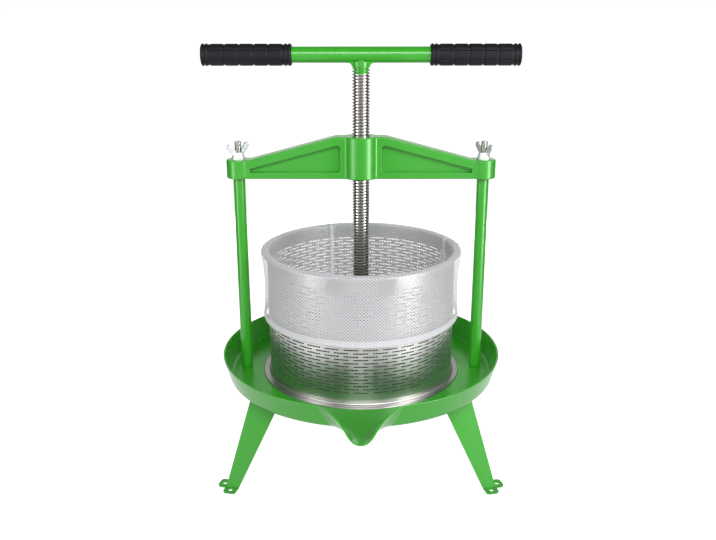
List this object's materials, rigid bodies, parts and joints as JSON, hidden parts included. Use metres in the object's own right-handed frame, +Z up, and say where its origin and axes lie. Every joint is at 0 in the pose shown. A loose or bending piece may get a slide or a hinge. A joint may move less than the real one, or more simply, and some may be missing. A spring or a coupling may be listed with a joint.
{
  "type": "manual fruit press",
  "caption": "Hand-turned screw press for fruit: slotted steel basket lined with a mesh bag, standing in a spouted tray on folded legs, with a plate driven down by a T-handle screw.",
  "frame": {"origin": "on the floor under the press axis, midway between the feet", "axes": "+Z up along the screw, -Y towards the spout, +X to the right seen from the spout"},
  "size_m": [0.36, 0.3926, 0.5119],
  "materials": {
    "green_coat": "gloss powder coat",
    "bright_zinc": "bright zinc plate",
    "thread_steel": "bright machined steel",
    "stainless": "satin stainless",
    "bronze": "turned bronze",
    "nylon_mesh": "white woven nylon",
    "rubber": "matt moulded rubber"
  },
  "bodies": {
    "frame": {"tray": "green_coat", "leg_front_left": "green_coat", "leg_front_right": "green_coat", "leg_rear": "green_coat", "post_left": "green_coat", "post_right": "green_coat", "upper_studs": "bright_zinc", "post_washers": "bright_zinc", "post_bolts": "bright_zinc"},
    "bridge": {"crossbeam": "green_coat"},
    "plate": {"press_plate": "stainless", "plate_hub": "stainless", "thrust_disc": "bronze", "plate_screws": "bright_zinc", "retaining_screws": "bright_zinc"},
    "spindle": {"screw": "thread_steel", "handle_neck": "green_coat", "handle_tube": "green_coat", "grip_left": "rubber", "grip_right": "rubber"},
    "left_washer": {"washer_left": "bright_zinc"},
    "right_washer": {"washer_right": "bright_zinc"},
    "left_wing_nut": {"wing_nut_left": "bright_zinc"},
    "right_wing_nut": {"wing_nut_right": "bright_zinc"},
    "basket": {"basket_shell": "stainless", "basket_ring": "stainless", "filter_bag": "nylon_mesh"}
  },
  "joints": [
    {"name": "bridge_lift", "type": "slide", "parent": "frame", "child": "bridge", "axis": [0, 0, 1], "range_m": [0, 0.045]},
    {"name": "press_travel", "type": "slide", "parent": "bridge", "child": "plate", "axis": [0, 0, 1], "range_m": [-0.0595, 0.14]},
    {"name": "screw_turn", "type": "hinge", "parent": "plate", "child": "spindle", "pos_m": [0, 0, 0.303], "axis": [0, 0, 1], "range_deg": [-6120, 14400]},
    {"name": "left_washer_lift", "type": "slide", "parent": "bridge", "child": "left_washer", "axis": [0, 0, 1], "range_m": [0, 0.0175]},
    {"name": "right_washer_lift", "type": "slide", "parent": "bridge", "child": "right_washer", "axis": [0, 0, 1], "range_m": [0, 0.0175]},
    {"name": "left_nut_turn", "type": "hinge", "parent": "left_washer", "child": "left_wing_nut", "pos_m": [-0.1432, 0, 0.388], "axis": [0, 0, 1], "range_deg": [0, 5040]},
    {"name": "right_nut_turn", "type": "hinge", "parent": "right_washer", "child": "right_wing_nut", "pos_m": [0.1432, 0, 0.388], "axis": [0, 0, 1], "range_deg": [0, 5040]},
    {"name": "basket_lift", "type": "slide", "parent": "frame", "child": "basket", "axis": [0, 0, 1], "range_m": [0, 0.05]}
  ],
  "couplings": [
    {"joint": "press_travel", "follows": "screw_turn", "m_per_rad": 0.00055704},
    {"joint": "left_washer_lift", "follows": "left_nut_turn", "m_per_rad": 0.00019894},
    {"joint": "right_washer_lift", "follows": "right_nut_turn", "m_per_rad": 0.00019894}
  ]
}
